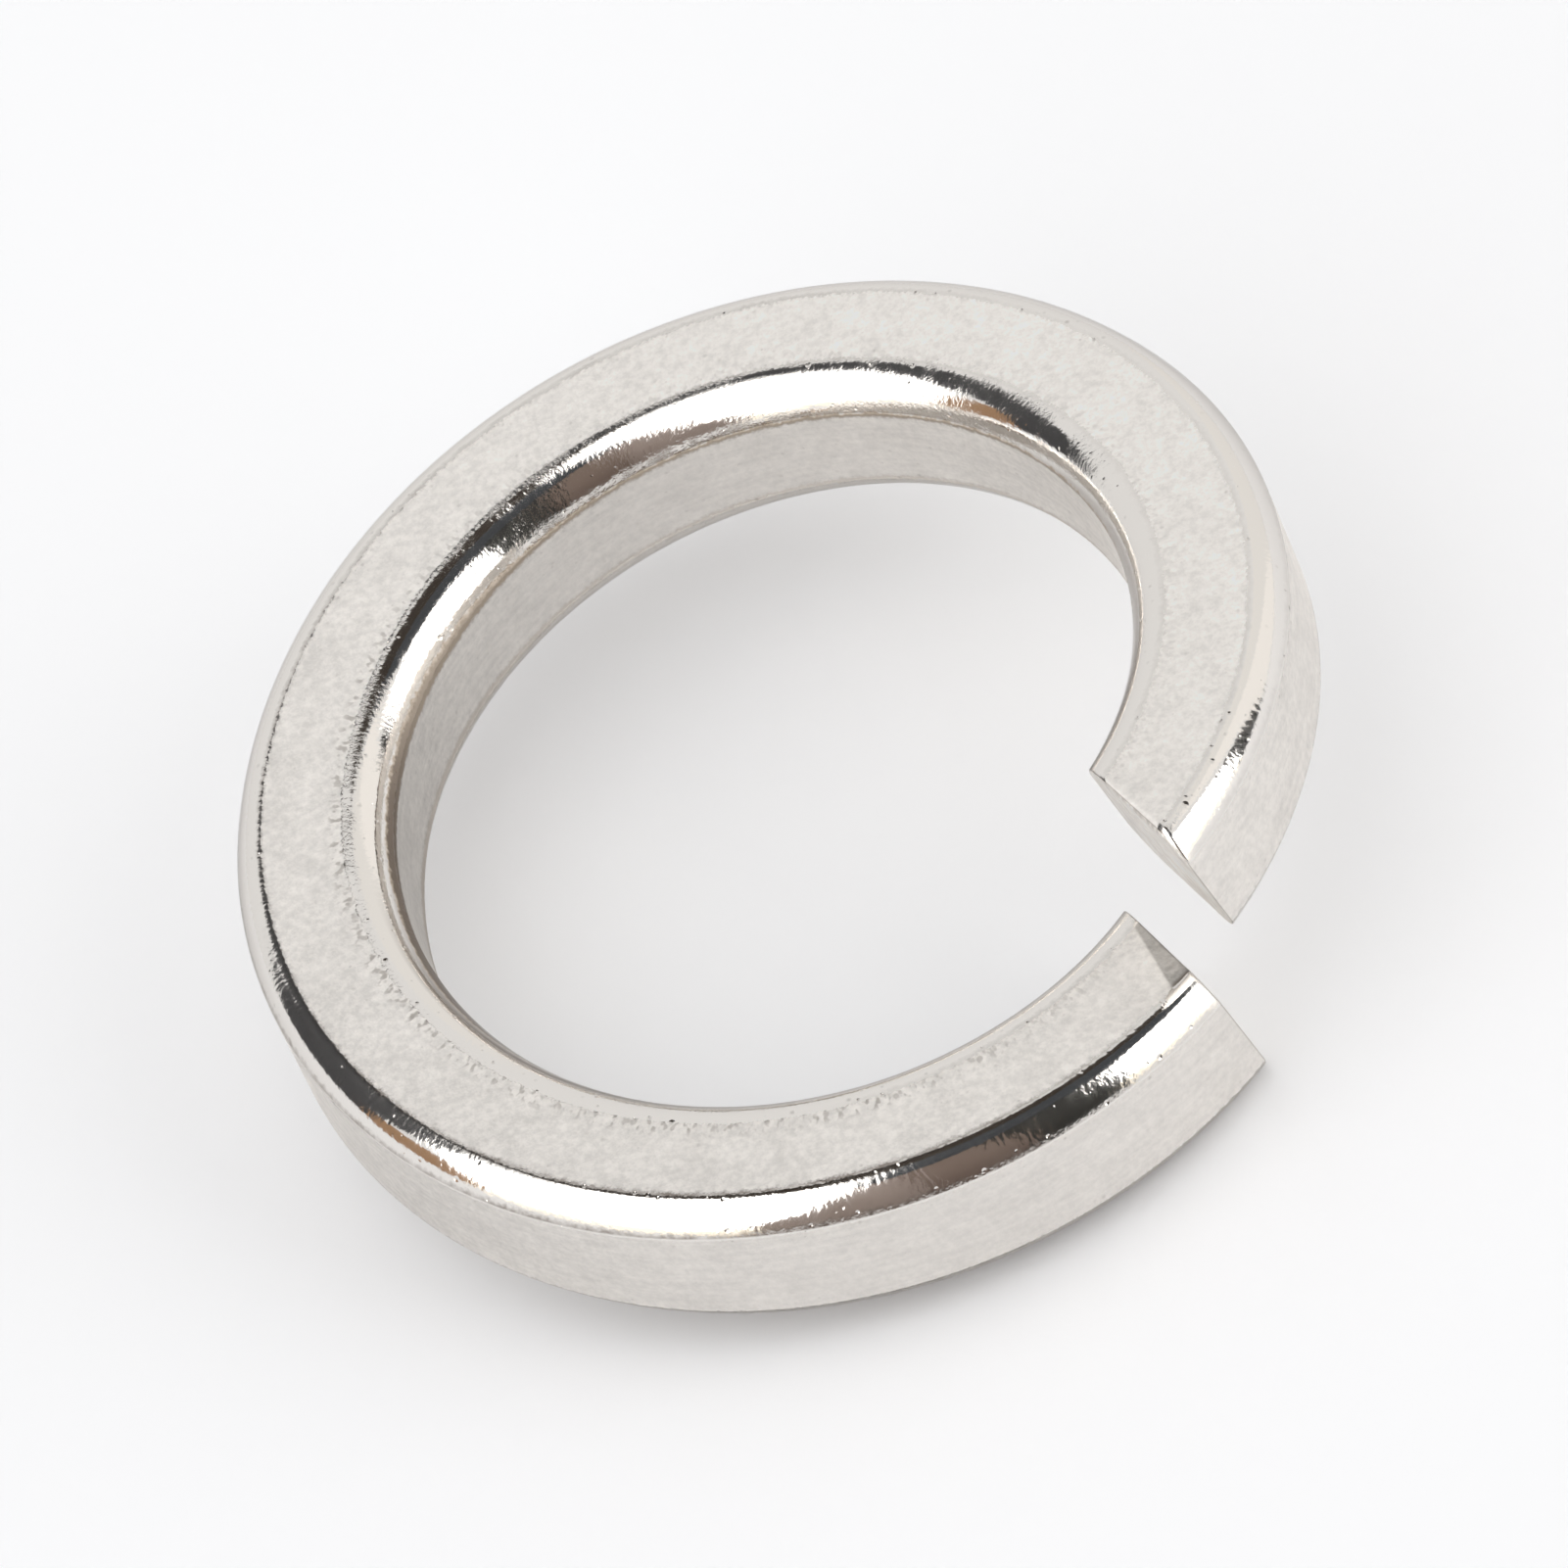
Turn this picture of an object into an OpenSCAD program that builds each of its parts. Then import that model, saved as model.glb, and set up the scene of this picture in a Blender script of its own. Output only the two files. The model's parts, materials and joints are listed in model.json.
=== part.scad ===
// Spring lock washer: one turn of bright square bar, coiled to the left so that it grips under
// a right-hand screw, and sheared off at a slant so that its two ends stand apart.
// Millimetres. The bore runs along Z, and the lowest tip of the washer is at height zero.

/* [Hole] */
// Diameter of the hole that the screw passes through
bore_d = 24.5; // [18:0.1:32]
// Metal that the coil leaves inside the hole, for the bore to clean up
bore_skim = 0.05; // [0.02:0.01:0.1]

/* [Bar] */
// Width of the bar, outwards from the hole
bar_w = 5; // [3.5:0.1:8]
// Thickness of the bar, along the hole
bar_t = 5.6; // [3.5:0.1:8]
// Radius of the two rounded edges on the hole's side
inner_edge_r = 1.15; // [0.3:0.05:1.6]
// Radius of the two rounded edges on the rim's side
outer_edge_r = 0.95; // [0.3:0.05:1.6]

/* [Coil] */
// Height that the bar climbs in one full turn
coil_rise = 5.95; // [0.5:0.05:9]
// Direction of the slit from the middle of the washer, seen from above
slit_at = -45; // [-180:5:180]

/* [Slit] */
// Space between the two sheared ends, along the rim
slit_w = 0.9; // [0.3:0.1:4]
// Turn of the shear cut away from the radius, seen from above
cut_skew = 17; // [0:1:30]
// Lean of the shear cut away from the hole's direction, seen from the rim
cut_lean = 10; // [0:1:20]

/* [Smoothness] */
// Steps that the bar takes round its turn
coil_steps = 120; // [60:6:144]
// Steps round each rounded edge of the bar
edge_steps = 5; // [3:1:6]

/* [Hidden] */

steel = [0.80, 0.79, 0.76];

bore_r = bore_d / 2;
rim_r = bore_r + bar_w;
inside_r = bore_r - bore_skim;

// Height that the coil gains on each degree of its turn
climb = coil_rise / 360;

// Steps of the fixed-point search that brings a line of the bar to the shear plane
cut_tries = 10;

// Bore tool: sides of its drawn circle, and how far it stands out past both faces
bore_sides = 96;
bore_over = 2;

// One rounded edge of the bar as points [radius, height], round a centre, from angle a0 on by 90
function edge(centre, r, a0) =
    [for (i = [0:edge_steps]) centre + r * [cos(a0 + 90 * i / edge_steps), sin(a0 + 90 * i / edge_steps)]];

// Section of the bar, counter-clockwise from its rim side at the top
section = concat(
    edge([rim_r - outer_edge_r, bar_t - outer_edge_r], outer_edge_r, 0),
    edge([inside_r + inner_edge_r, bar_t - inner_edge_r], inner_edge_r, 90),
    edge([inside_r + inner_edge_r, inner_edge_r], inner_edge_r, 180),
    edge([rim_r - outer_edge_r, outer_edge_r], outer_edge_r, 270)
);

// Angle past the slit's direction where the bar's line [radius, height] meets a shear plane.
// The plane passes the rim's top edge at the distance "along", and each try slides the line
// along the coil, which sinks by "climb" a degree on the way.
function cut_angle(line, along, angle = 0, tries = cut_tries) =
    tries == 0
        ? angle
        : let (inwards = rim_r - line[0] * cos(angle))
          let (downwards = bar_t - line[1] + climb * angle)
          let (shift = along + tan(cut_skew) * inwards + tan(cut_lean) * downwards)
          cut_angle(line, along, asin(shift / line[0]), tries - 1);

// Where each line of the section starts at the low end and stops at the raised end
low_end = [for (line = section) cut_angle(line, -slit_w / 2)];
raised_end = [for (line = section) cut_angle(line, slit_w / 2) - 360];

// Lift that puts the lowest tip of the low end at height zero
lift = -min([for (j = [0:len(section) - 1]) section[j][1] - climb * low_end[j]]);

// Point of line j of the section, at step i of the turn
function coil_point(i, j) =
    let (angle = low_end[j] + (raised_end[j] - low_end[j]) * i / coil_steps)
    let (line = section[j])
    [line[0] * cos(angle), line[0] * sin(angle), line[1] - climb * angle + lift];

// The coiled bar with its two sheared ends
module coiled_bar() {
    lines = len(section);
    points = [for (i = [0:coil_steps]) for (j = [0:lines - 1]) coil_point(i, j)];
    skin = [
        for (i = [0:coil_steps - 1])
        for (j = [0:lines - 1])
        let (here = i * lines + j)
        let (beside = i * lines + (j + 1) % lines)
        for (side = [[here, here + lines, beside + lines], [here, beside + lines, beside]])
        side
    ];
    low_face = [for (j = [0:lines - 1]) j];
    raised_face = [for (j = [0:lines - 1]) (coil_steps + 1) * lines - 1 - j];
    polyhedron(points = points, faces = concat([low_face, raised_face], skin), convexity = 4);
}

// The straight round hole through the washer
module bore() {
    translate([0, 0, -bore_over])
        cylinder(r = bore_r, h = bar_t + coil_rise + 2 * bore_over, $fn = bore_sides);
}

module spring_washer() {
    color(steel)
        rotate([0, 0, slit_at])
            difference() {
                coiled_bar();
                bore();
            }
}

spring_washer();
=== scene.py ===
# %% [markdown]
# A spring lock washer is a short length of square steel bar, coiled round once and sheared off,
# so that its two ends stand apart. Under a screw it is squeezed flat and pushes back.
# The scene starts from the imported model, which fixes every size and place in metres.

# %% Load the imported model
import json
import math

import bpy
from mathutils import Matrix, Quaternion, Vector
from mathutils.geometry import interpolate_bezier


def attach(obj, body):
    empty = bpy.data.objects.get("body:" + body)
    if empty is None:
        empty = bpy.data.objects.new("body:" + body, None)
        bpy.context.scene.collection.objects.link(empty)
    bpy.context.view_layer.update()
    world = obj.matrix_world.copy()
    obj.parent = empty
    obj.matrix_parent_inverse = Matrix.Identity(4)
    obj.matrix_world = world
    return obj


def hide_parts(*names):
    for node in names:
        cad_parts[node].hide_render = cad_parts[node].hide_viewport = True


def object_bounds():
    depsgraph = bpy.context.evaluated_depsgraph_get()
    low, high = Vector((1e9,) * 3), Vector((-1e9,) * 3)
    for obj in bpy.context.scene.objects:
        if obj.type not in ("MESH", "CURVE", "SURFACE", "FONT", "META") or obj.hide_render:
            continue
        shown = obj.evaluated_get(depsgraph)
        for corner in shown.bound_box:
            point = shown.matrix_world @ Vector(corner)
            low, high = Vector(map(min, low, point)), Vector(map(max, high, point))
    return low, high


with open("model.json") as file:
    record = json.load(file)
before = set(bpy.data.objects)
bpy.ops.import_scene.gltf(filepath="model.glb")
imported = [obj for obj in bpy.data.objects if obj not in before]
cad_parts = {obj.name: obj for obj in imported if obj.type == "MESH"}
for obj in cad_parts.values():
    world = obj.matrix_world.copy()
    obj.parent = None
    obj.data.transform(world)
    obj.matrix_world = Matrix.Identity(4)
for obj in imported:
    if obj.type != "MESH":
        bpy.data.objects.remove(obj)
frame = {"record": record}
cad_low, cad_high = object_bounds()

MM = 0.001
NODE = "spring_washer"
print("CAD box in mm:", [round(side / MM, 2) for side in cad_high - cad_low])

# %% [markdown]
# The washer's own sizes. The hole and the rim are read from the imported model, and the rest
# repeat the sizes that the model was built from. A coil could be measured from the model's
# triangles too, but named sizes keep the meaning of every number in sight.

# %% Sizes of the washer
bore_mount = next(m for m in frame["record"]["mounts"] if m["name"] == "bore")
bore_r = bore_mount["dims"]["r_mm"] * MM
rim_r = (cad_high.x - cad_low.x) / 2
middle_r = (bore_r + rim_r) / 2
bar_w = rim_r - bore_r
bar_t = 5.6 * MM
inner_edge_r = 1.15 * MM
outer_edge_r = 0.95 * MM
climb = 5.95 * MM / math.tau
slit_at = math.radians(-45)
slit_w = 0.9 * MM
cut_skew = math.radians(17)
cut_lean = math.radians(10)
print("bar in mm:", round(bar_w / MM, 2), "wide,", round(bar_t / MM, 2), "thick")

# %% [markdown]
# A node tree is a drawing of a formula, and a long formula is hard to follow as a drawing. So
# the trees here are written as sums. A Value stands for what a node puts out, and each sign in
# a sum with Values adds one Math node to the tree. Adding and linking every Math node by hand
# would give the same tree in three times the lines. add_node does the work for nodes of every
# kind: what comes from another node is linked, and anything else is typed into the socket.

# %% Sums that add Math nodes
class Value:
    def __init__(self, tree, source):
        self.tree = tree
        self.source = source

    def math(self, operation, *others):
        terms = dict(enumerate([self, *others]))
        return output(add_node(self.tree, "ShaderNodeMath", terms, operation=operation))

    def __add__(self, other):
        return self.math("ADD", other)

    def __sub__(self, other):
        return self.math("SUBTRACT", other)

    def __rsub__(self, other):
        return Value(self.tree, other).math("SUBTRACT", self)

    def __mul__(self, other):
        return self.math("MULTIPLY", other)

    def __truediv__(self, other):
        return self.math("DIVIDE", other)

    def __rtruediv__(self, other):
        return Value(self.tree, other).math("DIVIDE", self)

    def __pow__(self, other):
        return self.math("POWER", other)

    def __abs__(self):
        return self.math("ABSOLUTE")

    def at_least(self, other):
        return self.math("MAXIMUM", other)

    def at_most(self, other):
        return self.math("MINIMUM", other)

    __radd__ = __add__
    __rmul__ = __mul__


def add_node(tree, kind, inputs=None, **settings):
    node = tree.nodes.new(kind)
    for name, setting in settings.items():
        setattr(node, name, setting)
    for key, given in (inputs or {}).items():
        source = given.source if isinstance(given, Value) else given
        if isinstance(source, bpy.types.NodeSocket):
            tree.links.new(source, node.inputs[key])
        else:
            node.inputs[key].default_value = source
    return node


def output(node, key=0):
    return Value(node.id_data, node.outputs[key])


trial = bpy.data.node_groups.new("trial", "ShaderNodeTree")
trial_sum = Value(trial, 2.0) * 3.0 + 1.0
print("2 x 3 + 1 adds", len(trial.nodes), "Math nodes, the last to", trial_sum.source.node.operation)
bpy.data.node_groups.remove(trial)

# %% [markdown]
# A tree talks to the outside through its interface: named sockets with a kind and a value to
# start from. Two helpers add them, and two more take a vector apart and put one together. They
# serve geometry nodes and shader nodes alike.

# %% Helpers for interfaces and vectors
def add_inputs(tree, sockets):
    for name, (kind, start) in sockets.items():
        socket = tree.interface.new_socket(name, in_out="INPUT", socket_type="NodeSocket" + kind)
        if start is not None:
            socket.default_value = start
    node = add_node(tree, "NodeGroupInput")
    return {name: output(node, name) for name in sockets}


def add_outputs(tree, kind, results):
    for name in results:
        tree.interface.new_socket(name, in_out="OUTPUT", socket_type="NodeSocket" + kind)
    add_node(tree, "NodeGroupOutput", results)


def split(vector):
    node = add_node(vector.tree, "ShaderNodeSeparateXYZ", {"Vector": vector})
    return [output(node, side) for side in "XYZ"]


def join(x, y, z=0.0):
    return output(add_node(x.tree, "ShaderNodeCombineXYZ", {"X": x, "Y": y, "Z": z}))


print("helpers:", ", ".join(helper.__name__ for helper in (add_inputs, add_outputs, split, join)))

# %% [markdown]
# The bar's section is a square with four rolled edges. Each edge leaves the face of the washer
# smoothly, but meets the side wall at a crease, because the rolls squeezed the bar only from
# above and below. A cubic Bezier curve does that. Both of its handles point at the place where
# the lines along the two ends cross, and EDGE_FULLNESS says how near to it they come: at 0 the
# edge would be a flat chamfer, and at 1 nearly a square corner. A rounded rectangle would be
# simpler, but its edges would mirror the floor, and the real ones mirror only what hangs above.
# "reach" is how much further an edge runs in over the face than down the wall, and its first
# step off the wall is split once more at FIRST_STEP, which keeps the crease crisp.

# %% One rolled edge
EDGE_STEPS = 12
FIRST_STEP = 0.25
EDGE_FULLNESS = 0.71
EDGE_ARC = 1.5
HOLE_EDGE = {"radius": inner_edge_r, "reach": 0.15 * MM, "crease": math.radians(20)}
RIM_EDGE = {"radius": outer_edge_r, "reach": 0.10 * MM, "crease": math.radians(24)}


def edge_points(corner_r, corner_z, edge, side_r, side_z):
    radius = edge["radius"]
    wall_end = Vector((corner_r, corner_z - side_z * radius))
    meeting = Vector((corner_r - side_r * radius * math.tan(edge["crease"]), corner_z))
    face_end = Vector((corner_r - side_r * (radius + edge["reach"]), corner_z))
    curve = interpolate_bezier(
        wall_end, wall_end.lerp(meeting, EDGE_FULLNESS),
        face_end.lerp(meeting, EDGE_FULLNESS), face_end, EDGE_STEPS + 1)
    shares = [step / EDGE_STEPS for step in range(EDGE_STEPS + 1)]
    curve.insert(1, curve[0].lerp(curve[1], FIRST_STEP))
    shares.insert(1, FIRST_STEP * shares[1])
    for point, share in zip(curve, shares):
        crease = -min(share, 1 - share) * radius * EDGE_ARC
        yield (*point, crease, share)


edges = [
    list(edge_points(rim_r, bar_t, RIM_EDGE, 1, 1)),
    list(edge_points(bore_r, bar_t, HOLE_EDGE, -1, 1))[::-1],
    list(edge_points(bore_r, 0, HOLE_EDGE, -1, -1)),
    list(edge_points(rim_r, 0, RIM_EDGE, 1, -1))[::-1],
]
print("rolled edges:", len(edges), "of", len(edges[0]), "points each")

# %% [markdown]
# Flat sides join the edges. Each has a point close to either end, so that the smooth shading of
# the rolled edge stops at the crease instead of spilling over the flat.
# Each point of the section also keeps two marks for the finish. "crease" is its distance from
# the nearest border of a rolled edge, above zero on the flat sides and below zero on the edges.
# On an edge, EDGE_ARC turns steps into such a distance: it is the length of the curve in radii.
# "face_side" is 1 on the two faces, 0 on the two walls, and runs from one to the other round
# each edge.

# %% Section of the bar
FLAT_STEPS = 6
CREASE_GUARD = 0.05 * MM


def point_between(first, second, share):
    return [a + (b - a) * share for a, b in zip(first, second)]


def flat_points(last, following):
    length = math.dist(last[:2], following[:2])
    guard = CREASE_GUARD / length
    even_shares = [step / FLAT_STEPS for step in range(1, FLAT_STEPS)]
    for share in [guard, *even_shares, 1 - guard]:
        crease = min(share, 1 - share) * length
        yield (*point_between(last[:2], following[:2], share), crease, last[3])


section = []
for edge, following_edge in zip(edges, edges[1:] + edges[:1]):
    section += edge
    section += flat_points(edge[-1], following_edge[0])
section_mesh = bpy.data.meshes.new("bar_section")
section_mesh.from_pydata([(r, 0, z) for r, z, crease, face_side in section], [], [])
for index, name in [(2, "crease"), (3, "face_side")]:
    mark = section_mesh.attributes.new(name, "FLOAT", "POINT")
    mark.data.foreach_set("value", [point[index] for point in section])
section_girth = sum(math.dist(a[:2], b[:2]) for a, b in zip(section, section[1:] + section[:1]))
print("section:", len(section), "points, girth", round(section_girth / MM, 2), "mm")

# %% [markdown]
# In the works the washer is made in this order: a straight bar is wound round a mandrel into a
# coil, and a blade shears the coil at a slant. A node group finds where each line of the bar
# meets the blade. A line that lies nearer the hole or lower down meets the slanted blade later,
# and sliding along the coil changes its height a little, so the answer is found by a few
# repeated guesses, each fed with the last.

# %% Node group that finds the shear cut
CUT_PASSES = 5


def build_shear_cut():
    tree = bpy.data.node_groups.new("Shear Cut", "GeometryNodeTree")
    given = add_inputs(tree, {
        "Line Radius": ("Float", None),
        "Line Height": ("Float", None),
        "Along": ("Float", None),
        "Rim Radius": ("Float", rim_r),
        "Bar Thickness": ("Float", bar_t),
        "Climb": ("Float", climb),
        "Skew": ("Float", math.tan(cut_skew)),
        "Lean": ("Float", math.tan(cut_lean)),
    })
    angle = Value(tree, 0.0)
    for _ in range(CUT_PASSES):
        inwards = given["Rim Radius"] - given["Line Radius"] * angle.math("COSINE")
        downwards = given["Bar Thickness"] + given["Climb"] * angle - given["Line Height"]
        shift = given["Along"] + given["Skew"] * inwards + given["Lean"] * downwards
        angle = (shift / given["Line Radius"]).math("ARCSINE")
    add_outputs(tree, "Float", {"Angle": angle})
    return tree


shear_cut = build_shear_cut()
print("shear cut group:", len(shear_cut.nodes), "nodes")

# %% [markdown]
# The coil itself could be a curve with a bevel, but a bevel tips its section to follow the
# slope, and it can't be cut at a slant. So a flat grid is rolled up: its long side runs along
# the bar and its short side round the section. Each point of the grid belongs to a row along
# the bar and to a line round it, and it looks up its line's place and marks in the section.
# The next cells add to this one tree, each a step of the washer's making.

# %% Grid that is rolled up
CAP_ROWS = 20
BODY_ROWS = 600
FULL_ROWS = BODY_ROWS + 2 * CAP_ROWS

coil_tree = bpy.data.node_groups.new("Coiled Bar", "GeometryNodeTree")
coil = add_inputs(coil_tree, {
    "Geometry": ("Geometry", None),
    "Lines": ("Int", len(section)),
    "Slit Direction": ("Float", slit_at),
    "Slit Width": ("Float", slit_w),
    "Climb": ("Float", climb),
    "Lift": ("Float", 0.0),
    "Sharp Lip": ("Float", 0.07 * MM),
    "Low Drag": ("Float", 0.1 * MM),
    "Raised Drag": ("Float", 0.35 * MM),
    "Dip Depth": ("Float", 0.16 * MM),
    "Dip Length": ("Float", 1.15 * MM),
    "Waviness": ("Float", 0.012 * MM),
    "Wave Size": ("Float", 3.0 * MM),
    "Material": ("Material", None),
})
grid = add_node(coil_tree, "GeometryNodeMeshGrid", {
    "Size X": 1.0, "Size Y": 1.0, "Vertices X": FULL_ROWS + 1, "Vertices Y": coil["Lines"] + 1.0})
grid_x, grid_y, _ = split(output(add_node(coil_tree, "GeometryNodeInputPosition")))
row = (grid_x + 0.5) * FULL_ROWS
turn = (grid_y + 0.5) * coil["Lines"]
line = turn.math("ROUND").math("FLOORED_MODULO", coil["Lines"])


def from_section(field, data_type):
    return output(add_node(coil_tree, "GeometryNodeSampleIndex", {
        "Geometry": coil["Geometry"], "Value": field, "Index": line}, data_type=data_type))


line_place = from_section(output(add_node(coil_tree, "GeometryNodeInputPosition")), "FLOAT_VECTOR")
line_r, _, line_z = split(line_place)
marks = {}
for name in ("crease", "face_side"):
    stored = add_node(coil_tree, "GeometryNodeInputNamedAttribute", {"Name": name}, data_type="FLOAT")
    marks[name] = from_section(output(stored, "Attribute"), "FLOAT")
print("grid:", FULL_ROWS + 1, "rows of", len(section) + 1, "points")

# %% [markdown]
# The first and last rows of the grid close the two ends: they shrink the section to a point,
# and cap_size runs from 0 there to 1 at the corner of the end. The other rows run along the bar,
# and share is 0 at the low end's cut and 1 at the raised end's. They crowd together near both
# cuts, where the shape changes fastest. Even rows could be as fine, with many times the faces.

# %% Rows along the bar
ROW_CROWDING = 0.93
from_end = row.at_most(FULL_ROWS - row)
cap_size = ((from_end / CAP_ROWS).at_most(1.0) * (math.pi / 2)).math("SINE")
body = ((row - CAP_ROWS) / BODY_ROWS).at_least(0.0).at_most(1.0)
share = body - (body * math.tau).math("SINE") * (ROW_CROWDING / math.tau)
is_low = body.math("LESS_THAN", 0.5)
print("rows for each end:", CAP_ROWS, "and for the bar between:", BODY_ROWS)

# %% [markdown]
# Where the blade came in from above, it dragged the steel down before it broke through. So the
# corner between an end face and the skin is turned to a small radius, the lip, and it is wider
# on top and toward the rim. A Bevel modifier would give every corner the same radius, and here
# it changes along the corner. inward and endward say how far a point lies from that corner, on
# the end face and along the bar. A point within the lip is drawn onto its arc. Nothing is
# divided by less than MERGE_GAP, the distance at which points count as one.

# %% Turned corners at the cuts
MERGE_GAP = 0.00002 * MM
DRAG_FALL = 4.0
middle_z = bar_t / 2
off_r = line_r - middle_r
off_z = line_z - middle_z
arm = (off_r * off_r + off_z * off_z).math("SQRT")
top_side = (off_z / middle_z).at_least(0.0)
rim_side = (off_r + bar_w / 2) / bar_w
drag = is_low * coil["Low Drag"] + (1.0 - is_low) * coil["Raised Drag"]
lip = coil["Sharp Lip"] + drag * (top_side ** DRAG_FALL * rim_side)

inward = (1.0 - cap_size) * arm
endward = share.at_most(1.0 - share) * (math.tau * line_r)
lip_in = (lip - inward).at_least(0.0)
lip_along = (lip - endward).at_least(0.0)
lip_size = (lip_in * lip_in + lip_along * lip_along).math("SQRT")
drawn_in = (1.0 - lip / lip_size.at_least(MERGE_GAP)).at_least(0.0)
scale = 1.0 - (inward + lip_in * drawn_in) / arm
slid = lip_along * drawn_in
radius = off_r * scale + middle_r
height = off_z * scale + middle_z
marks["cut"] = endward - inward
print("coil tree:", len(coil_tree.nodes), "nodes after the turned corners")

# %% [markdown]
# The blade also pressed down the outer corner of the low end's face. Only the face sinks, and
# the crease stays up beside it as a thin bright ridge. Moving a few points by hand would do, but
# a formula keeps the dip in its place when the washer's sizes change.

# %% Pressed corner of the low end
DIP_ROUNDNESS = 0.7
dip_reach = (coil["Dip Length"] * rim_side).at_least(MERGE_GAP)
near_end = (1.0 - endward / dip_reach).at_least(0.0)
flat_face = marks["face_side"].math("GREATER_THAN", 0.99) * marks["crease"].math("GREATER_THAN", 0.0)
on_top = (1.0 - (bar_t - height) / middle_z).at_least(0.0)
marks["dip"] = near_end ** DIP_ROUNDNESS * rim_side * (is_low * flat_face) * on_top ** 2.0
height = height - marks["dip"] * coil["Dip Depth"]
print("coil tree:", len(coil_tree.nodes), "nodes after the pressed corner")

# %% [markdown]
# Now the straight bar is wound. The group from before gives both cuts of each line, and the
# row's share says how far the point lies between them. The coil runs clockwise as it rises, so
# its angle counts down from zero, and taking off the climb makes it rise.

# %% Coil round the hole
def cut_at(along):
    return output(add_node(coil_tree, "GeometryNodeGroup", {
        "Line Radius": radius, "Line Height": height, "Along": along}, node_tree=shear_cut))


low_cut = cut_at(coil["Slit Width"] * -0.5)
raised_cut = cut_at(coil["Slit Width"] * 0.5) - math.tau
angle = low_cut + (raised_cut - low_cut) * share
angle = angle + (1.0 - is_low * 2.0) * (slid / radius)
heading = angle + coil["Slit Direction"]
coiled = join(radius * heading.math("COSINE"), radius * heading.math("SINE"),
              height - coil["Climb"] * angle + coil["Lift"])
print("coil tree:", len(coil_tree.nodes), "nodes after the coil")

# %% [markdown]
# The marks are stored before the grid moves, because a point's row and line are read from its
# place in the flat grid. The UV map runs in millimetres along and round the bar. Then the grid
# takes its new places, its seams are merged, and a slow noise pushes the skin in by up to a
# hundredth of a millimetre, because no rolled bar is perfectly even. Each call of "then" feeds
# the mesh into one more node.

# %% Finish of the coil's mesh
def then(mesh, kind, inputs=None, **settings):
    return output(add_node(coil_tree, kind, {0: mesh, **(inputs or {})}, **settings))


def store(mesh, name, field, data_type, domain):
    return then(mesh, "GeometryNodeStoreNamedAttribute", {"Name": name, "Value": field},
                data_type=data_type, domain=domain)


uv = join(angle * (-middle_r / MM), turn / coil["Lines"] * (section_girth / MM))
mesh = store(output(grid), "UVMap", uv, "FLOAT2", "CORNER")
for name, field in marks.items():
    mesh = store(mesh, name, field, "FLOAT", "POINT")
mesh = then(mesh, "GeometryNodeSetPosition", {"Position": coiled})
mesh = then(mesh, "GeometryNodeMergeByDistance", {"Distance": MERGE_GAP})
mesh = then(mesh, "GeometryNodeFlipFaces")
wave = add_node(coil_tree, "ShaderNodeTexNoise", {"Scale": 1.0 / coil["Wave Size"], "Detail": 1.0})
push = add_node(coil_tree, "ShaderNodeVectorMath", {
    0: output(add_node(coil_tree, "GeometryNodeInputNormal")),
    "Scale": (output(wave) - 1.0) * coil["Waviness"]}, operation="SCALE")
mesh = then(mesh, "GeometryNodeSetPosition", {"Offset": output(push)})
mesh = then(mesh, "GeometryNodeSetShadeSmooth")
mesh = then(mesh, "GeometryNodeRealizeInstances")
mesh = then(mesh, "GeometryNodeSetMaterial", {"Material": coil["Material"]})
add_outputs(coil_tree, "Geometry", {"Geometry": mesh})
print("coil tree:", len(coil_tree.nodes), "nodes, with the marks", ", ".join(marks))

# %% [markdown]
# The steel is one metal with three skins. The faces and the walls are matt, with the fine grain
# that pickling leaves. The four rolled edges are burnished nearly to a mirror, with small pits
# and the ripples of the rolls. The sheared ends are striped by the blade. Each effect is a node
# group that gives out a plain number, so its sizes can be read and changed in one place, and
# the material only decides where each one shows. All of them read the washer's own coordinates
# or its marks, so nothing slides over the steel when the washer is moved.
# Image textures could show all this as well, but a formula has no seam and no resolution.

# %% Noise and soft steps
def step_up(value, low, high):
    node = add_node(value.tree, "ShaderNodeMapRange", {
        "Value": value, "From Min": low, "From Max": high}, interpolation_type="SMOOTHSTEP")
    return output(node, "Result")


def noise(vector, size, detail=1.0, roughness=0.5):
    return output(add_node(vector.tree, "ShaderNodeTexNoise", {
        "Vector": vector, "Scale": 1.0 / size, "Detail": detail, "Roughness": roughness}))


def stretched_noise(first, second, first_size, second_size):
    vector = join(first / first_size, second / second_size)
    return output(add_node(vector.tree, "ShaderNodeTexNoise", {
        "Vector": vector, "Scale": 1.0, "Detail": 1.0}, noise_dimensions="2D"))


print("helpers:", ", ".join(helper.__name__ for helper in (step_up, noise, stretched_noise)))

# %% [markdown]
# Grain is the fine mottle of pickled steel, and blotches are its slow changes. Pits are drops of
# a cell pattern: each cell has a chance of its own, and only some of them turn into a pit.

# %% Shader groups for grain and pits
def build_fine_grain():
    tree = bpy.data.node_groups.new("Fine Grain", "ShaderNodeTree")
    given = add_inputs(tree, {
        "Vector": ("Vector", None),
        "Grain Size": ("Float", 0.26 * MM),
        "Blotch Size": ("Float", 1.0 * MM),
    })
    grain = noise(given["Vector"], given["Grain Size"], 2.0, 0.75)
    blotch = noise(given["Vector"], given["Blotch Size"], 3.0, 0.65)
    add_outputs(tree, "Float", {
        "Grain": step_up(grain, 0.25, 0.75), "Blotch": step_up(blotch, 0.3, 0.7)})
    return tree


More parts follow.
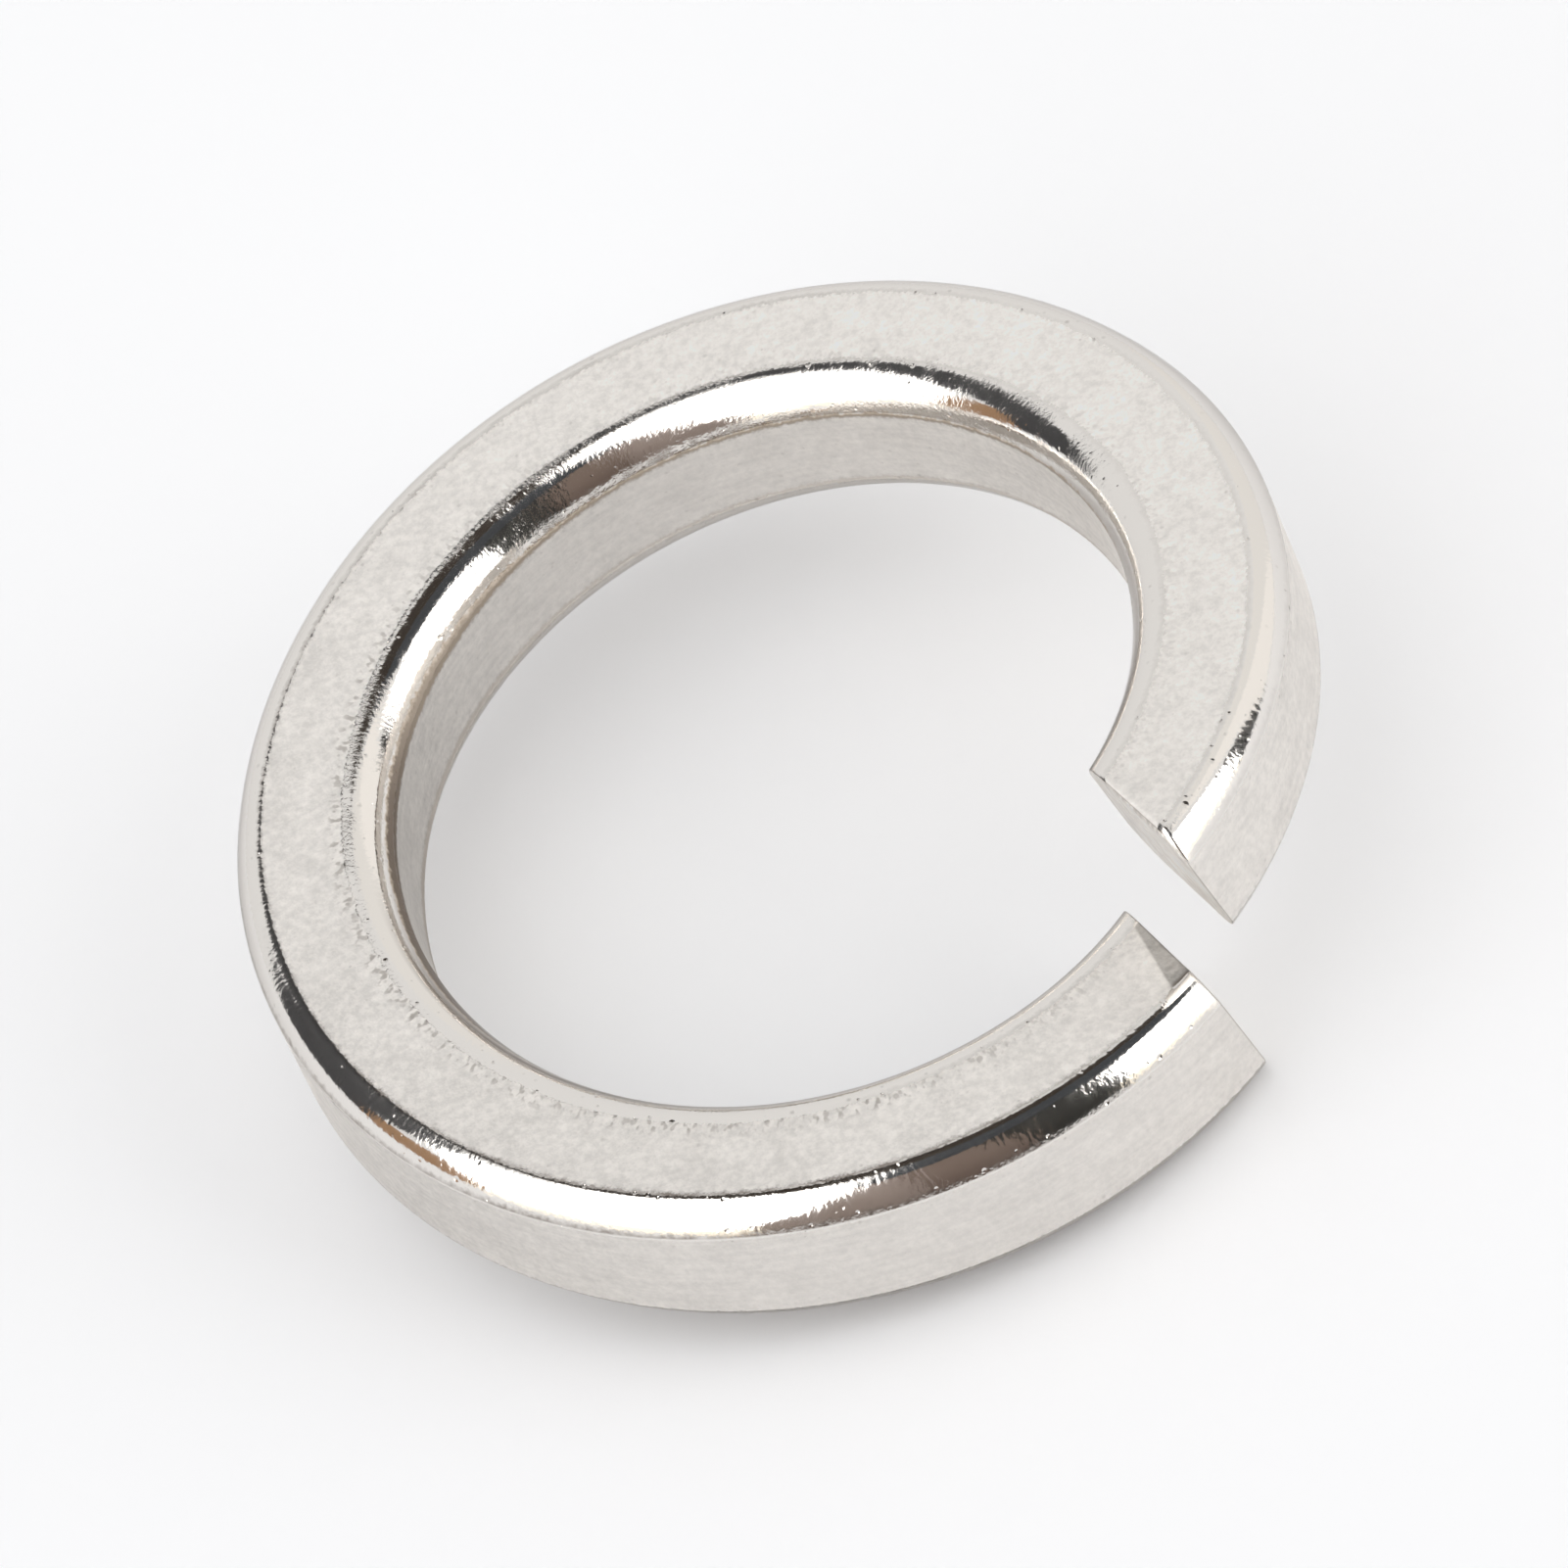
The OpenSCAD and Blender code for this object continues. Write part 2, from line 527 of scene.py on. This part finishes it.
def build_pits():
    tree = bpy.data.node_groups.new("Pits", "ShaderNodeTree")
    given = add_inputs(tree, {
        "Vector": ("Vector", None),
        "Spacing": ("Float", 0.36 * MM),
        "Amount": ("Float", 0.5),
        "Least Size": ("Float", 0.07),
        "Size Change": ("Float", 0.25),
    })
    cells = add_node(tree, "ShaderNodeTexVoronoi", {
        "Vector": given["Vector"], "Scale": 1.0 / given["Spacing"]})
    chance = add_node(tree, "ShaderNodeSeparateColor", {"Color": output(cells, "Color")})
    reach = output(chance, "Green") * given["Size Change"] + given["Least Size"]
    depth = (1.0 - output(cells, "Distance") / reach).at_least(0.0)
    there = output(chance, "Red").math("LESS_THAN", given["Amount"])
    add_outputs(tree, "Float", {"Pit": depth * there})
    return tree


fine_grain = build_fine_grain()
pits = build_pits()
print("shader groups:", fine_grain.name, len(fine_grain.nodes), "nodes,", pits.name, len(pits.nodes))

# %% [markdown]
# Ripples run across the rolled edges, where the rolls chattered, and they wander a little.
# Dashes are short dark scratches beside a crease. Both follow the bar, so they read the UV map
# and the crease mark instead of plain coordinates.

# %% Shader groups for ripples and dashes
def build_roll_ripples():
    tree = bpy.data.node_groups.new("Roll Ripples", "ShaderNodeTree")
    given = add_inputs(tree, {
        "Along": ("Float", 0.0),
        "Vector": ("Vector", None),
        "Patch": ("Float", 1.0),
        "Spacing": ("Float", 0.27),
        "Wander": ("Float", 2.4),
        "Wander Size": ("Float", 0.6 * MM),
    })
    wander = noise(given["Vector"], given["Wander Size"])
    turns = given["Along"] / given["Spacing"] + wander * given["Wander"]
    wave = (turns * math.tau).math("SINE")
    add_outputs(tree, "Float", {"Ripple": wave * given["Patch"]})
    return tree


def build_crease_dashes():
    tree = bpy.data.node_groups.new("Crease Dashes", "ShaderNodeTree")
    given = add_inputs(tree, {
        "Along": ("Float", 0.0),
        "Crease": ("Float", 0.0),
        "Reach": ("Float", 0.55 * MM),
        "Dash Length": ("Float", 0.24),
        "Dash Height": ("Float", 0.35 * MM),
    })
    dashes = stretched_noise(
        given["Along"], given["Crease"], given["Dash Length"], given["Dash Height"])
    fade = 1.0 - abs(given["Crease"] / given["Reach"] - 0.3)
    add_outputs(tree, "Float", {"Dash": step_up(dashes, 0.52, 0.70) * step_up(fade, 0.2, 0.8)})
    return tree


roll_ripples = build_roll_ripples()
crease_dashes = build_crease_dashes()
for group in (roll_ripples, crease_dashes):
    print("shader group:", group.name, len(group.nodes), "nodes")

# %% [markdown]
# The material starts with masks, numbers that are 1 in one place and 0 elsewhere: the half of
# the bar toward the hole, the two walls, and the sheared ends. They come from the marks that
# the coil's mesh carries, so they fit the shape however it is changed. Painting them by hand
# would fix them to one size of washer.

# %% Places and masks on the steel
steel = bpy.data.materials.new("bright_steel")
steel.use_nodes = True
steel_tree = steel.node_tree
steel_tree.nodes.clear()


def mark(name):
    return output(add_node(steel_tree, "ShaderNodeAttribute", attribute_name=name), "Fac")


place = output(add_node(steel_tree, "ShaderNodeTexCoord"), "Object")
x, y, z = split(place)
from_axis = (x * x + y * y).math("SQRT")
along, round_bar, _ = split(output(add_node(steel_tree, "ShaderNodeUVMap", uv_map="UVMap")))
crease = mark("crease")
face_side = mark("face_side")
cut = mark("cut")
dip = mark("dip")

hole_half = from_axis.math("LESS_THAN", middle_r)
rim_half = 1.0 - hole_half
on_wall = 1.0 - step_up(face_side, 0.0, 0.04)
on_end = 1.0 - step_up(cut, -0.06 * MM, 0.0)
off_end = 1.0 - on_end
print("steel:", len(steel_tree.nodes), "nodes for places and masks")

# %% [markdown]
# Next come the effects. The same group can stand in a tree twice with other sizes, as the finer
# speck does here. Two more noises are stretched: along the bar for the drawn lines of the walls,
# and down the sheared ends for the stripes of the blade.

# %% Effects on the steel
def effect(group, inputs):
    return add_node(steel_tree, "ShaderNodeGroup", inputs, node_tree=group)


pickled = effect(fine_grain, {"Vector": place})
grain = output(pickled, "Grain")
blotch = output(pickled, "Blotch")
speck = output(effect(fine_grain, {"Vector": place, "Grain Size": 0.11 * MM}), "Grain")
pit = output(effect(pits, {"Vector": place}))
ripple = output(effect(roll_ripples, {"Vector": place, "Along": along, "Patch": blotch}))
dash = output(effect(crease_dashes, {"Along": along, "Crease": crease}))
drawn_line = stretched_noise(along, round_bar, 3.0, 0.08)
stripe = stretched_noise(from_axis, z, 0.12 * MM, 1.6 * MM)
print("steel:", len(steel_tree.nodes), "nodes with the effects")

# %% [markdown]
# polish is 1 on a rolled edge and 0 elsewhere. Its border is ragged, because the rolls did not
# reach equally far everywhere, so grain and ripples shift the distance from the crease before
# it is turned into a mask.
# The side of the washer toward DULL_SIDE is painted darker than the other and carries more dashes,
# and dull says by how much. near_side does the same for the side toward the camera.

# %% Polished edges and darker side
DULL_SIDE = (-0.8, -0.6, 0.0)
BORDER_RAGGED = 0.10 * MM
BORDER_RIPPLED = 0.012 * MM
BORDER_WIDTH = 0.07 * MM
ragged = crease + (grain - 0.5) * BORDER_RAGGED + ripple * BORDER_RIPPLED
polish = (1.0 - step_up(ragged, 0.0, BORDER_WIDTH)) * off_end
matt = 1.0 - polish

# across and the mask below paint the washer darker toward one side.
dull_way = add_node(
    steel_tree, "ShaderNodeVectorMath", {0: place, 1: DULL_SIDE}, operation="DOT_PRODUCT")
across = output(dull_way, "Value")
dull = step_up(across, -0.3 * rim_r, 0.6 * rim_r)
near_side = step_up(y, 0.0, -0.35 * rim_r)
print("steel:", len(steel_tree.nodes), "nodes with the polished edges")

# %% [markdown]
# In the hole a dark-brown reflection is painted beside each crease, with a painted tan reflection
# round it. Both are zones between a start and an end, measured from the crease: below zero on the
# rolled edge and above zero on the wall. Each border has a place, and says how far the near side and
# the darker side move it. At the lower crease both zones are fainter.

# %% Painted reflections in the hole
LINE_START = {"place": -0.06 * MM, "near_side": -0.18 * MM, "dull": -0.27 * MM}
LINE_END = {"place": 0.20 * MM, "near_side": -0.35 * MM, "dull": 0.18 * MM}
bore_middle = min(range(len(section)), key=lambda i: math.dist(section[i][:2], (bore_r, middle_z)))
is_upper = round_bar.math("LESS_THAN", section_girth / MM * bore_middle / len(section))
hole_side = hole_half * (1.0 - step_up(face_side, 0.3, 0.45)) * (0.3 + 0.7 * is_upper)


def past(border):
    return ragged - (border["place"] + near_side * border["near_side"] + dull * border["dull"])


def zone(fade_in, fade_out):
    begun = step_up(past(LINE_START), *fade_in)
    ended = step_up(past(LINE_END), *fade_out)
    return begun * (1.0 - ended) * hole_side


# Painted reflections: a tan zone and a dark-brown line, of dark and brown things mirrored in the
# hole's rolled edges.
line_strength = 0.46 + 0.42 * step_up(dull, 0.7, 1.0)
hole_stain = zone((0.0, 0.08 * MM), (-0.12 * MM, 0.0)) * 0.8
hole_line = zone((0.04 * MM, 0.16 * MM), (-0.10 * MM, 0.08 * MM)) * line_strength
print("steel:", len(steel_tree.nodes), "nodes with the grime in the hole")

# %% [markdown]
# Elsewhere, dark lines are painted: where a face turns into a rolled edge a thin line, partly grime
# and partly a painted reflection, stronger on the near side and fainter on the right; along the
# hole's edge on the near side a soft painted reflection; at the foot of the dip a line of painted
# shade; and round each sheared end a hair line, partly grime and partly a painted reflection. Real
# grime sits in dashes beside the hole and in the pits. A band is such a line: 1 in its middle, and
# falling off to 0 on both sides. The strongest mark wins at each place, so lines that cross don't add
# up to black.

# %% Grime and painted dark lines on faces, ends and pits
def band(value, middle, width):
    return (1.0 - abs(value - middle) / width).at_least(0.0)


off_wall = 1.0 - on_wall
# The thin dark line at the face crease below is partly grime and partly a painted reflection,
# stronger toward the camera and fainter on the right.
darker_near = 0.60 - y * (0.35 / rim_r)
clean_right = 1.0 - 0.75 * step_up(x, 0.1 * rim_r, 0.7 * rim_r)
face_line = (band(ragged, -0.03 * MM, 0.16 * MM) * off_wall * rim_half.at_least(1.0 - dull)
             * darker_near * clean_right)
hole_dashes = dash * hole_half * off_wall * crease.math("GREATER_THAN", 0.0) * (0.3 + 0.7 * dull)
# A soft painted dark reflection along the near hole edge, painted shade at the foot of the dip, and a
# hair line round each cut that is partly grime and partly a painted reflection.
near_line = band(face_side, 0.42, 0.20) * near_side * hole_half * 0.75
dip_line = band(crease, 0.09 * MM, 0.12 * MM) * step_up(dip, 0.08, 0.25) * rim_half * 0.8
lip_line = band(cut, 0.0, 0.07 * MM) * 0.55
deep_pit = pit * (1.0 - abs(crease) / (0.6 * MM)).at_least(0.2 + 0.25 * hole_half)

# The mix holds real grime in the dashes and pits, and painted shade and reflections in the lines.
grime = face_line.at_least(hole_dashes * 0.6) * (0.4 + 0.6 * blotch)
for more in (hole_line, near_line, dip_line, deep_pit * 0.5):
    grime = grime.at_least(more)
grime = (grime * off_end).at_least(lip_line).at_most(1.0)
print("steel:", len(steel_tree.nodes), "nodes with all the grime")

# %% [markdown]
# Metal has no colour of its own under the shine, so a tint is a tint of the reflection itself, and a
# matt patch is a rougher mirror. CLEAN_STEEL is what a clean patch reflects when looked at straight
# on. Each shade is above zero where it paints a place lighter than that and below zero where it
# paints it darker. The faces, the sheared ends and the rim wall get painted light, the bore wall and
# the pressed corner get painted shade, and the washer is painted darker toward one side. The pattern
# of each skin comes on top, and then the painted tan reflection, the grime and the painted dark lines
# cover it.
# A Mix node has hidden sockets for numbers and vectors under the same names, so the colour
# sockets are picked by their numbers.

# %% Colour of the steel
CLEAN_STEEL = (0.80, 0.768, 0.73, 1.0)
# The tan below is a painted reflection in the hole.
STAIN = (0.60, 0.49, 0.37, 1.0)
# The dark brown below is grime in the dashes and pits, and painted shade and dark reflections in the
# lines.
GRIME = (0.17, 0.135, 0.11, 1.0)
COLOUR_A = 6
COLOUR_B = 7
COLOUR_RESULT = 2
# Painted light: the next three shades make the faces, the sheared ends and the rim wall lighter than
# clean steel.
FACE_SHADE = 0.13
END_SHADE = 0.14
RIM_WALL_SHADE = 0.08
# Painted shade: the bore wall is darkened, most on the darker side, and so is the pressed corner;
# SIDE_SHADE darkens the washer toward one side.
BORE_WALL_SHADE = -0.035
BORE_DULL_SHADE = -0.11
SIDE_SHADE = -0.11
DIP_SHADE = -0.50
GRAIN_SHADE = 0.22
BLOTCH_SHADE = 0.12
DRAWN_SHADE = 0.14
STRIPE_SHADE = 0.7


def mixed(share, first, second, blend_type="MIX"):
    node = add_node(steel_tree, "ShaderNodeMix", {
        "Factor": share, COLOUR_A: first, COLOUR_B: second}, data_type="RGBA", blend_type=blend_type)
    return output(node, COLOUR_RESULT)


# Painted light and shade: faces, ends and rim wall lighter, bore wall and pressed corner darker, and
# the washer darker toward one side.
skin = (FACE_SHADE * (1.0 - on_wall.at_least(on_end)) + END_SHADE * on_end
        + RIM_WALL_SHADE * on_wall * rim_half
        + (BORE_WALL_SHADE + BORE_DULL_SHADE * dull) * on_wall * hole_half
        + SIDE_SHADE / rim_r * across + DIP_SHADE * step_up(dip, 0.02, 0.16))
mottle = (GRAIN_SHADE * (grain - 0.5) + BLOTCH_SHADE * (blotch - 0.5)) * (1.0 - 0.4 * on_wall)
lines = DRAWN_SHADE * (drawn_line - 0.5) * on_wall + STRIPE_SHADE * (stripe - 0.5) * on_end
shade = 1.0 + (skin + mottle + lines) * matt
tint = mixed(1.0, CLEAN_STEEL, join(shade, shade, shade), "MULTIPLY")
tint = mixed(hole_stain, tint, STAIN)
tint = mixed(grime, tint, GRIME)
print("steel:", len(steel_tree.nodes), "nodes with the colour")

# %% [markdown]
# Roughness tells matt from bright: about 0.6 on the pickled skin, where the room melts into one
# soft light, and under 0.1 on the rolled edges, where it is mirrored sharply. The pressed corner
# and the sheared ends lie between. The heights are thousandths of a millimetre. They only tilt
# the light, and the mesh stays as it is: in real geometry they would take millions of faces.

# %% Roughness and height of the steel
MICRON = 0.001 * MM
MATT_ROUGHNESS = 0.60
EDGE_ROUGHNESS = 0.075
GRAIN_HEIGHT = 5 * MICRON
DRAWN_HEIGHT = 4 * MICRON
STRIPE_HEIGHT = 30 * MICRON
DASH_DEPTH = 6 * MICRON
EDGE_GRAIN_HEIGHT = 1.9 * MICRON
SPECK_HEIGHT = 2.7 * MICRON
RIM_RIPPLE = 1.0 * MICRON
HOLE_RIPPLE = 0.7 * MICRON
PIT_DEPTH = 20 * MICRON
matt_rough = MATT_ROUGHNESS + 0.16 * (grain - 0.5) - 0.06 * on_wall - 0.28 * dip - 0.12 * on_end
edge_rough = EDGE_ROUGHNESS + 0.05 * blotch + 0.16 * band(cut, 0.0, 0.6 * MM)
rough = edge_rough * polish + matt_rough * matt

matt_relief = ((grain - 0.5) * GRAIN_HEIGHT + (drawn_line - 0.5) * on_wall * DRAWN_HEIGHT
               + (stripe - 0.5) * on_end * STRIPE_HEIGHT - hole_dashes * DASH_DEPTH)
edge_relief = (ripple * (rim_half * RIM_RIPPLE + hole_half * HOLE_RIPPLE)
               + (grain - 0.5) * EDGE_GRAIN_HEIGHT
               + (speck - 0.5) * step_up(blotch, 0.2, 0.7) * hole_half * SPECK_HEIGHT)
relief = edge_relief * polish + matt_relief * matt - deep_pit * PIT_DEPTH
print("steel:", len(steel_tree.nodes), "nodes with roughness and height")

# %% [markdown]
# One Principled shader takes it all. SLANTED_STEEL is the share of its reflection that the
# metal keeps when looked at along the surface: real steel that has been handled never gets
# as bright there as a new mirror would.

# %% Steel material
SLANTED_STEEL = (0.70, 0.69, 0.68, 1.0)
bump = add_node(steel_tree, "ShaderNodeBump", {"Height": relief, "Strength": 1.0, "Distance": 1.0})
principled = add_node(steel_tree, "ShaderNodeBsdfPrincipled", {
    "Base Color": tint, "Metallic": 1.0, "Roughness": rough,
    "Specular Tint": SLANTED_STEEL, "Normal": output(bump)}, distribution="GGX")
add_node(steel_tree, "ShaderNodeOutputMaterial", {"Surface": output(principled)})
print("steel:", len(steel_tree.nodes), "nodes in all")

# %% [markdown]
# The coil is drawn round height zero, and its low end hangs below that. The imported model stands
# on its lowest tip, so the same guess of the cut is made here once more, in plain Python, to
# learn how far to lift the coil. Lifting by the mesh's own lowest point would be easier, but
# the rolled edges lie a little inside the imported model's, and the washer would end up too low.

# %% Lift of the coil
def low_cut_angle(line_radius, line_height):
    guess = 0.0
    for _ in range(CUT_PASSES):
        towards_hole = rim_r - line_radius * math.cos(guess)
        below_top = bar_t - line_height + climb * guess
        shift = -slit_w / 2 + math.tan(cut_skew) * towards_hole + math.tan(cut_lean) * below_top
        guess = math.asin(shift / line_radius)
    return guess


low_tip = min(point[1] - climb * low_cut_angle(point[0], point[1]) for point in section)
print("lift of the coil:", round(-low_tip / MM, 3), "mm")

# %% [markdown]
# The section's points become the washer when the node tree runs on them. The modifier is read
# back as a plain mesh and taken off again, so that the washer that is handed on needs no tree.
# A modifier knows its inputs only by the identifiers of their sockets, so a helper looks each
# one up by its name.

# %% Make the washer
def set_input(modifier, tree, name, value):
    socket = next(s for s in tree.interface.items_tree if s.in_out == "INPUT" and s.name == name)
    modifier[socket.identifier] = value


def grown_mesh(obj, tree, values, name):
    modifier = obj.modifiers.new(tree.name, "NODES")
    modifier.node_group = tree
    for key, value in values.items():
        set_input(modifier, tree, key, value)
    graph = bpy.context.evaluated_depsgraph_get()
    plain_mesh = bpy.data.meshes.new_from_object(obj.evaluated_get(graph), depsgraph=graph)
    plain_mesh.name = name
    obj.modifiers.remove(modifier)
    return plain_mesh


washer = bpy.data.objects.new("washer_body", section_mesh)
bpy.context.collection.objects.link(washer)
washer.data = grown_mesh(washer, coil_tree, {"Lift": -low_tip, "Material": steel}, "washer_body")
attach(washer, "root")
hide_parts(NODE)
print("washer:", len(washer.data.polygons), "faces")

# %% [markdown]
# Small bright parts are usually pictured on a sheet of white paper that runs on far behind
# them. The floor is such a sheet, big enough to fill the picture. It is matt, and its colour is
# held just under white, so the washer's soft shadow stays visible on it.

# %% Floor
FLOOR_SIZE = 4.0
FLOOR_PAPER = (0.925, 0.931, 0.945)


def plain_material(name, colour):
    material = bpy.data.materials.new(name)
    material.use_nodes = True
    shader = material.node_tree.nodes["Principled BSDF"]
    shader.inputs["Base Color"].default_value = (*colour, 1.0)
    shader.inputs["Roughness"].default_value = 1.0
    shader.inputs["Specular IOR Level"].default_value = 0.0
    return material


def stage_mesh(name, points, faces, material):
    flat_mesh = bpy.data.meshes.new(name)
    flat_mesh.from_pydata(points, [], faces)
    flat_mesh.materials.append(material)
    obj = bpy.data.objects.new(name, flat_mesh)
    bpy.context.collection.objects.link(obj)
    return obj


floor_corners = [(x_side * FLOOR_SIZE / 2, y_side * FLOOR_SIZE / 2, 0)
                 for x_side, y_side in ((-1, -1), (1, -1), (1, 1), (-1, 1))]
floor = stage_mesh("floor", floor_corners, [range(4)], plain_material("floor_paper", FLOOR_PAPER))
print("floor in m:", [round(side, 2) for side in floor.dimensions])

# %% [markdown]
# A polished edge has hardly any colour of its own. What it shows is the room: white softboxes,
# pale reflectors, and the dark gaps between them. So the light comes from cards hung on a dome
# about the washer, where each card is a polygon whose corners are given as directions, azimuth
# and elevation in degrees. That is how a photographer would describe them. Lamps would light
# the matt faces just as well, but they can't be seen in a mirror.
# Two liberties are taken. The cards don't show to the camera, and a softbox may light the floor
# less than the steel, which keeps the paper even. The cards are also left out of the list of
# lamps that the renderer aims at: rays find such big cards by themselves, in half the time.

# %% Cards hung round the washer
AIM = Vector((0, 0, (cad_low.z + cad_high.z) / 2))


def outwards(azimuth, elevation):
    around = math.radians(azimuth)
    up = math.radians(elevation)
    return Vector((math.cos(around) * math.cos(up), math.sin(around) * math.cos(up), math.sin(up)))


def glowing_material(name, colour, radiance, floor_radiance=None):
    material = plain_material(name, (0.0, 0.0, 0.0))
    shader = material.node_tree.nodes["Principled BSDF"]
    shader.inputs["Emission Color"].default_value = (*colour, 1.0)
    shader.inputs["Emission Strength"].default_value = radiance
    if floor_radiance is not None:
        to_floor = output(add_node(material.node_tree, "ShaderNodeLightPath"), "Is Diffuse Ray")
        shown = radiance + to_floor * (floor_radiance - radiance)
        material.node_tree.links.new(shown.source, shader.inputs["Emission Strength"])
    material.cycles.emission_sampling = "NONE"
    return material


def hung_card(name, directions, distance, material, seen_by_floor=True):
    corners = [AIM + outwards(*direction) * distance for direction in directions]
    middle = sum(corners, Vector()) / len(corners)
    count = len(corners)
    faces = [(i, (i + 1) % count, count) for i in range(count)]
    card = stage_mesh(name, [*corners, middle], faces, material)
    card.visible_camera = False
    card.visible_diffuse = seen_by_floor
    return card


print("cards aim at", [round(side / MM, 2) for side in AIM], "mm")

# %% [markdown]
# Two big softboxes stand left and right of the camera, each with a warmer strip along the
# floor, where their light reaches the paper and comes back. Two pale reflectors close the far
# right side, so that the bore wall and the raised end don't mirror an empty room.

# %% Softboxes and reflectors
WHITE = (1.0, 1.0, 1.0)
WARM = (1.0, 0.93, 0.80)
LEFT_RADIANCE = 3.0
RIGHT_RADIANCE = 3.8
hung_card("left_softbox",
          [(-118, 1), (-157, 1), (-165, 17), (-180, 45), (160, 61), (120, 67), (112, 82), (-90, 84),
           (-93, 50), (-102, 20)], 0.60,
          glowing_material("left_softbox_cloth", WHITE, LEFT_RADIANCE, floor_radiance=1.4))
hung_card("right_softbox",
          [(3, 1), (-43, 1), (-43, 28), (-36, 48), (-22, 55), (-3, 50), (5, 36)], 0.60,
          glowing_material("right_softbox_cloth", WHITE, RIGHT_RADIANCE, floor_radiance=2.25))
hung_card("left_warm_strip", [(-112, 0), (-160, 0), (-160, 8), (-112, 8)], 0.59,
          glowing_material("left_warm_strip", WARM, 1.5))
hung_card("right_warm_strip", [(2, 0), (-44, 0), (-44, 8), (2, 8)], 0.59,
          glowing_material("right_warm_strip", WARM, 1.5))
hung_card("cream_reflector", [(40, 1), (11, 1), (14, 54), (40, 58)], 0.65,
          glowing_material("cream_reflector_cloth", (1.0, 0.975, 0.945), 1.05))
hung_card("grey_reflector", [(75, 1), (40, 1), (40, 58), (75, 57)], 0.65,
          glowing_material("grey_reflector_cloth", (1.0, 0.985, 0.96), 0.92))
print("softbox radiance: left", LEFT_RADIANCE, "right", RIGHT_RADIANCE)

# %% [markdown]
# Between the lights hang dark flags. They draw the black and brown zones on the rolled edges,
# which is what tells the eye that these edges are polished and round. Without them the washer
# would look cast in plaster. Their colours are the browns and greys of an ordinary room: the
# camera's side, the ceiling in front and behind, a stand and a wooden board on the left.

# %% Dark flags
def flag(name, directions, distance, colour, shades_floor=False):
    return hung_card(name, directions, distance, plain_material(name, colour), shades_floor)


flag("softbox_post", [(14, 0), (2, 0), (5, 28), (9, 28)], 0.57, (0.03, 0.03, 0.03))
flag("camera_side_light", [(-80, 1), (-120, 1), (-97, 60), (-80, 60)], 0.72, (0.36, 0.30, 0.27),
     shades_floor=True)
flag("camera_side_brown", [(-62, 1), (-82, 1), (-82, 60), (-62, 60)], 0.70, (0.22, 0.17, 0.145),
     shades_floor=True)
flag("camera_side_dark", [(-40, 1), (-64, 1), (-64, 60), (-36, 60)], 0.71, (0.05, 0.05, 0.047),
     shades_floor=True)
flag("ceiling_front", [(0, 52), (-38, 52), (-100, 52), (-100, 88), (80, 88), (40, 60)], 0.78,
     (0.075, 0.08, 0.088))
flag("ceiling_back", [(118, 59), (104, 61), (84, 62), (75, 60), (30, 60), (20, 88), (112, 88)], 0.80,
     (0.06, 0.05, 0.042))
flag("left_stand",
     [(110, 59), (110, 50), (138, 46), (152, 22), (158, 1), (179, 1), (-179, 44), (150, 62)], 0.68,
     (0.075, 0.075, 0.078))
flag("left_wood", [(-156, 0), (178, 0), (178, 22), (-168, 22)], 0.67, (0.40, 0.25, 0.15))

# %% [markdown]
# Everything that no card covers is an even pale grey, a bright room far away. It fills the
# shadows, so they stay soft and light. A sky texture would be brighter above than below, and
# its colour would show in the polished edges.

# %% Pale room
ROOM_GREY = 0.89
world = bpy.data.worlds.new("studio")
bpy.context.scene.world = world
world.use_nodes = True
background = world.node_tree.nodes["Background"]
background.inputs["Color"].default_value = (ROOM_GREY, ROOM_GREY, ROOM_GREY, 1.0)
background.inputs["Strength"].default_value = 1.0
print("room colour:", ROOM_GREY)

# %% [markdown]
# The camera looks down at the washer from its near side, a little to the right. The two angles
# and the roll were found by laying the model's circles over the real washer's, and the distance
# by how much smaller its far side looks. A long lens from half a metre keeps the circles nearly
# true, as a macro lens does.

# %% Camera
VIEW_AZIMUTH = 11.8
VIEW_ELEVATION = 48.6
VIEW_ROLL = -25.0
VIEW_DISTANCE = 0.523
VIEW_LENS = 390
SENSOR_WIDTH = 36
camera_data = bpy.data.cameras.new("camera")
camera_data.sensor_width = SENSOR_WIDTH
camera_data.lens = VIEW_LENS
camera_data.clip_start = 0.01
camera = bpy.data.objects.new("camera", camera_data)
bpy.context.collection.objects.link(camera)
back = outwards(VIEW_AZIMUTH - 90, VIEW_ELEVATION)
roll = Quaternion((0, 0, 1), math.radians(VIEW_ROLL))
camera.rotation_mode = "QUATERNION"
camera.rotation_quaternion = (-back).to_track_quat("-Z", "Y") @ roll
camera.location = AIM + back * VIEW_DISTANCE
scene = bpy.context.scene
scene.camera = camera
scene.view_settings.view_transform = "Standard"
shown_width = SENSOR_WIDTH / VIEW_LENS * VIEW_DISTANCE
print("picture width at the washer:", round(shown_width / MM, 1), "mm")
